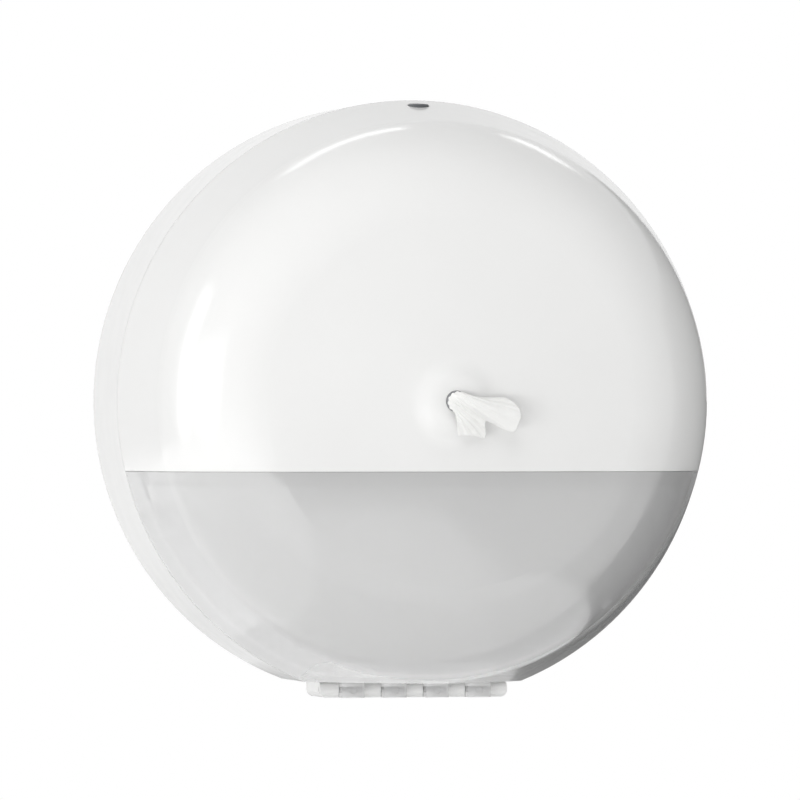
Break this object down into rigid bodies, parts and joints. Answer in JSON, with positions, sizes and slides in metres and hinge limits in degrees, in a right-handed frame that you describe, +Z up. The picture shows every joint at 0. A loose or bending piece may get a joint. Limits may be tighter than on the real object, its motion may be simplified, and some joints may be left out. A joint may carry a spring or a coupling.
{
  "type": "toilet paper dispenser",
  "caption": "Round wall-mounted toilet paper dispenser with a domed hinged cover, a translucent lower window, a centre-pull nozzle and a push-button lock.",
  "frame": {"origin": "on the wall plane, on the axis of the roll and the nozzle, which is the centre of the round back", "axes": "+X to the right seen from the front, +Y into the wall, +Z up; the front faces -Y"},
  "size_m": [0.269, 0.1634, 0.2666],
  "materials": {
    "white_abs": "polished moulding",
    "inner_abs": "satin moulding",
    "window_grey": "polished translucent moulding",
    "nozzle_grey": "satin moulding",
    "funnel_white": "satin moulding",
    "lock_grey": "satin moulding",
    "zinc_steel": "zinc plated",
    "spring_steel": "drawn wire",
    "tissue": "soft creped"
  },
  "bodies": {
    "base": {"back_plate": "white_abs", "roll_cradle": "inner_abs", "cradle_screws": "zinc_steel", "strike_bracket": "zinc_steel", "strike_screws": "zinc_steel", "hinge_pin": "zinc_steel", "paper_roll": "tissue", "tissue_strand": "tissue"},
    "cover": {"upper_cover": "white_abs", "window": "window_grey", "nozzle_ring": "nozzle_grey", "nozzle_funnel": "funnel_white", "nozzle_nut": "funnel_white", "lock_housing": "inner_abs", "lock_screws": "zinc_steel", "latch_pin": "zinc_steel", "lock_spring": "spring_steel", "tissue_tail": "tissue"},
    "lock_button": {"lock_button": "lock_grey"},
    "lock_latch": {"lock_latch": "lock_grey"}
  },
  "joints": [
    {"name": "cover_swing", "type": "hinge", "parent": "base", "child": "cover", "pos_m": [0, -0.06, -0.12875], "axis": [1, 0, 0], "range_deg": [0, 110]},
    {"name": "lock_button_press", "type": "slide", "parent": "cover", "child": "lock_button", "axis": [0, 0, -1], "range_m": [0, 0.0025], "stiffness_N_per_m": 800, "springref_m": -0.0025, "deforming": ["lock_spring"]},
    {"name": "latch_pivot", "type": "hinge", "parent": "cover", "child": "lock_latch", "pos_m": [0, -0.0665, 0.10882], "axis": [1, 0, 0], "range_deg": [0, 24]}
  ],
  "couplings": [
    {"joint": "latch_pivot", "follows": "lock_button_press", "rad_per_m": 167.5}
  ]
}
